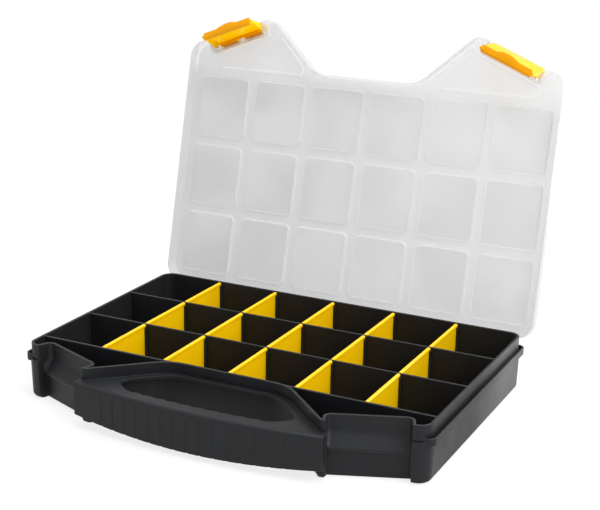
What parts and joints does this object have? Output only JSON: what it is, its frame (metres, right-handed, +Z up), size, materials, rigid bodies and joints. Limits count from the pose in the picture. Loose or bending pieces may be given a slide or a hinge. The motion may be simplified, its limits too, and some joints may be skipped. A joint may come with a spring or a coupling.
{
  "type": "compartment storage box",
  "caption": "Flat carry case for small parts: tray with a front handle, lift-out dividers and a hinged clear lid held by two latches.",
  "frame": {"origin": "underside of the tray, at the middle of the compartment grid", "axes": "+X along the long side, to the right seen from the handle; the handle is at the front, on -Y; +Z up"},
  "size_m": [0.344, 0.3202, 0.2723],
  "materials": {
    "tray": "satin",
    "lid": "frosted",
    "divider": "satin",
    "latch": "satin"
  },
  "bodies": {
    "tray": {"tray": "tray"},
    "lid": {"lid": "lid"},
    "latch_left": {"latch_left": "latch"},
    "latch_right": {"latch_right": "latch"},
    "divider_back_1": {"divider_back_1": "divider"},
    "divider_back_2": {"divider_back_2": "divider"},
    "divider_back_3": {"divider_back_3": "divider"},
    "divider_back_4": {"divider_back_4": "divider"},
    "divider_back_5": {"divider_back_5": "divider"},
    "divider_middle_1": {"divider_middle_1": "divider"},
    "divider_middle_2": {"divider_middle_2": "divider"},
    "divider_middle_3": {"divider_middle_3": "divider"},
    "divider_middle_4": {"divider_middle_4": "divider"},
    "divider_middle_5": {"divider_middle_5": "divider"},
    "divider_front_1": {"divider_front_1": "divider"},
    "divider_front_2": {"divider_front_2": "divider"},
    "divider_front_3": {"divider_front_3": "divider"},
    "divider_front_4": {"divider_front_4": "divider"},
    "divider_front_5": {"divider_front_5": "divider"}
  },
  "joints": [
    {"name": "lid_hinge", "type": "hinge", "parent": "tray", "child": "lid", "pos_m": [0, 0.099, 0.0355], "axis": [-1, 0, 0], "range_deg": [-103.5, 0]},
    {"name": "latch_right_pivot", "type": "hinge", "parent": "lid", "child": "latch_right", "pos_m": [0.12679, 0.16051, 0.24844], "axis": [-0.9293, 0.0862, 0.3592], "range_deg": [0, 90]},
    {"name": "latch_left_pivot", "type": "hinge", "parent": "lid", "child": "latch_left", "pos_m": [-0.12679, 0.16051, 0.24844], "axis": [-0.9293, -0.0862, -0.3592], "range_deg": [-15, 75]},
    {"name": "divider_back_1_lift", "type": "slide", "parent": "tray", "child": "divider_back_1", "axis": [0, 0, 1], "range_m": [0, 0.046]},
    {"name": "divider_back_2_lift", "type": "slide", "parent": "tray", "child": "divider_back_2", "axis": [0, 0, 1], "range_m": [0, 0.046]},
    {"name": "divider_back_3_lift", "type": "slide", "parent": "tray", "child": "divider_back_3", "axis": [0, 0, 1], "range_m": [0, 0.046]},
    {"name": "divider_back_4_lift", "type": "slide", "parent": "tray", "child": "divider_back_4", "axis": [0, 0, 1], "range_m": [0, 0.046]},
    {"name": "divider_back_5_lift", "type": "slide", "parent": "tray", "child": "divider_back_5", "axis": [0, 0, 1], "range_m": [0, 0.046]},
    {"name": "divider_middle_1_lift", "type": "slide", "parent": "tray", "child": "divider_middle_1", "axis": [0, 0, 1], "range_m": [0, 0.046]},
    {"name": "divider_middle_2_lift", "type": "slide", "parent": "tray", "child": "divider_middle_2", "axis": [0, 0, 1], "range_m": [0, 0.046]},
    {"name": "divider_middle_3_lift", "type": "slide", "parent": "tray", "child": "divider_middle_3", "axis": [0, 0, 1], "range_m": [0, 0.046]},
    {"name": "divider_middle_4_lift", "type": "slide", "parent": "tray", "child": "divider_middle_4", "axis": [0, 0, 1], "range_m": [0, 0.046]},
    {"name": "divider_middle_5_lift", "type": "slide", "parent": "tray", "child": "divider_middle_5", "axis": [0, 0, 1], "range_m": [0, 0.046]},
    {"name": "divider_front_1_lift", "type": "slide", "parent": "tray", "child": "divider_front_1", "axis": [0, 0, 1], "range_m": [0, 0.046]},
    {"name": "divider_front_2_lift", "type": "slide", "parent": "tray", "child": "divider_front_2", "axis": [0, 0, 1], "range_m": [0, 0.046]},
    {"name": "divider_front_3_lift", "type": "slide", "parent": "tray", "child": "divider_front_3", "axis": [0, 0, 1], "range_m": [0, 0.046]},
    {"name": "divider_front_4_lift", "type": "slide", "parent": "tray", "child": "divider_front_4", "axis": [0, 0, 1], "range_m": [0, 0.046]},
    {"name": "divider_front_5_lift", "type": "slide", "parent": "tray", "child": "divider_front_5", "axis": [0, 0, 1], "range_m": [0, 0.046]}
  ]
}
